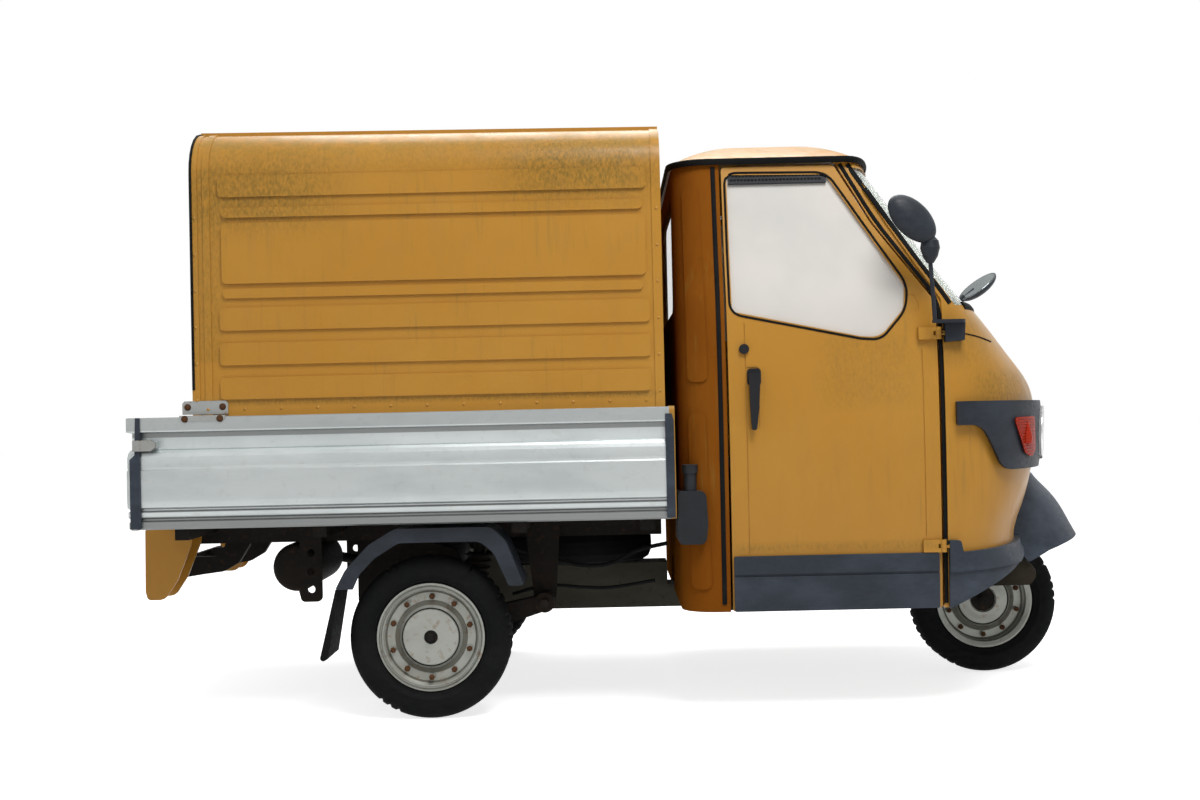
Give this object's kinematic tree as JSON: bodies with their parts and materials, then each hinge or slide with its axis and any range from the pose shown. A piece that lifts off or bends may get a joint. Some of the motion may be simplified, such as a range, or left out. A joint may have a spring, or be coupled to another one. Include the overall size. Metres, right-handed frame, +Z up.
{
  "type": "three-wheeled light cargo vehicle",
  "caption": "Auto rickshaw style three-wheeled pickup with closed cab, aluminium drop-side bed and ribbed box canopy; wheels, steering, doors, tailgate and hatch move.",
  "frame": {"origin": "on the ground under the middle of the vehicle's length and width", "axes": "+X forward, +Y to the vehicle's left, +Z up"},
  "size_m": [2.6524, 1.3767, 1.572],
  "materials": {
    "body_paint": "satin",
    "frame_paint": "matte",
    "glass": "gloss",
    "seat_cover": "matte",
    "grey_plastic": "matte",
    "black_plastic": "matte",
    "clear_lens": "gloss",
    "amber_lens": "gloss",
    "red_lens": "gloss",
    "engine_metal": "matte",
    "exhaust_steel": "matte",
    "aluminium": "satin",
    "bed_board": "satin",
    "tyre_rubber": "matte",
    "flap_rubber": "matte",
    "rim_silver": "satin"
  },
  "bodies": {
    "chassis": {"chassis_frame": "frame_paint", "chassis_rails": "frame_paint", "cross_members": "frame_paint", "outriggers": "frame_paint", "rear_guard": "frame_paint", "cab_floor": "body_paint", "cab_rear_wall": "body_paint", "cab_roof": "body_paint", "nose_panel": "body_paint", "windscreen": "glass", "rear_window": "glass", "seat_cushion": "seat_cover", "seat_back": "seat_cover", "dashboard": "black_plastic", "lamp_clusters": "grey_plastic", "headlamps": "clear_lens", "indicators": "amber_lens", "front_skirts": "grey_plastic", "front_mudguard": "grey_plastic", "mirrors": "black_plastic", "rear_right_arm": "frame_paint", "rear_left_arm": "frame_paint", "engine_block": "engine_metal", "silencer": "exhaust_steel", "spare_wheel": "tyre_rubber", "fuel_tank": "black_plastic", "rear_fenders": "grey_plastic", "mudflaps": "flap_rubber", "bed_floor": "bed_board", "bed_right_side": "aluminium", "bed_left_side": "aluminium", "bed_headboard": "body_paint", "canopy_shell": "body_paint", "tail_lamp_brackets": "body_paint", "tail_lamps": "red_lens"},
    "steering": {"front_fork": "frame_paint", "handlebar": "black_plastic"},
    "front_wheel": {"front_tyre": "tyre_rubber", "front_rim": "rim_silver"},
    "rear_right_wheel": {"rear_right_tyre": "tyre_rubber", "rear_right_rim": "rim_silver"},
    "rear_left_wheel": {"rear_left_tyre": "tyre_rubber", "rear_left_rim": "rim_silver"},
    "right_door": {"door_right_panel": "body_paint", "door_right_glass": "glass", "door_right_trim": "grey_plastic"},
    "left_door": {"door_left_panel": "body_paint", "door_left_glass": "glass", "door_left_trim": "grey_plastic"},
    "tailgate": {"tailgate": "aluminium"},
    "canopy_hatch": {"canopy_hatch": "body_paint"}
  },
  "joints": [
    {"name": "steering_turn", "type": "hinge", "parent": "chassis", "child": "steering", "pos_m": [1.043, 0, 0.215], "axis": [-0.342, 0, 0.9397], "range_deg": [-40, 40]},
    {"name": "front_wheel_spin", "type": "hinge", "parent": "steering", "child": "front_wheel", "pos_m": [1.05, 0, 0.215], "axis": [0, 1, 0], "continuous": true},
    {"name": "rear_right_wheel_spin", "type": "hinge", "parent": "chassis", "child": "rear_right_wheel", "pos_m": [-0.54, -0.51, 0.215], "axis": [0, 1, 0], "continuous": true},
    {"name": "rear_left_wheel_spin", "type": "hinge", "parent": "chassis", "child": "rear_left_wheel", "pos_m": [-0.54, 0.51, 0.215], "axis": [0, 1, 0], "continuous": true},
    {"name": "right_door_swing", "type": "hinge", "parent": "chassis", "child": "right_door", "pos_m": [0.8, -0.605, 0.7075], "axis": [0, 0, 1], "range_deg": [0, 65]},
    {"name": "left_door_swing", "type": "hinge", "parent": "chassis", "child": "left_door", "pos_m": [0.8, 0.605, 0.7075], "axis": [0, 0, -1], "range_deg": [0, 65]},
    {"name": "tailgate_drop", "type": "hinge", "parent": "chassis", "child": "tailgate", "pos_m": [-1.309, 0, 0.509], "axis": [0, -1, 0], "range_deg": [0, 90]},
    {"name": "canopy_hatch_lift", "type": "hinge", "parent": "chassis", "child": "canopy_hatch", "pos_m": [-1.148, 0, 1.5], "axis": [0, 1, 0], "range_deg": [0, 90]}
  ]
}
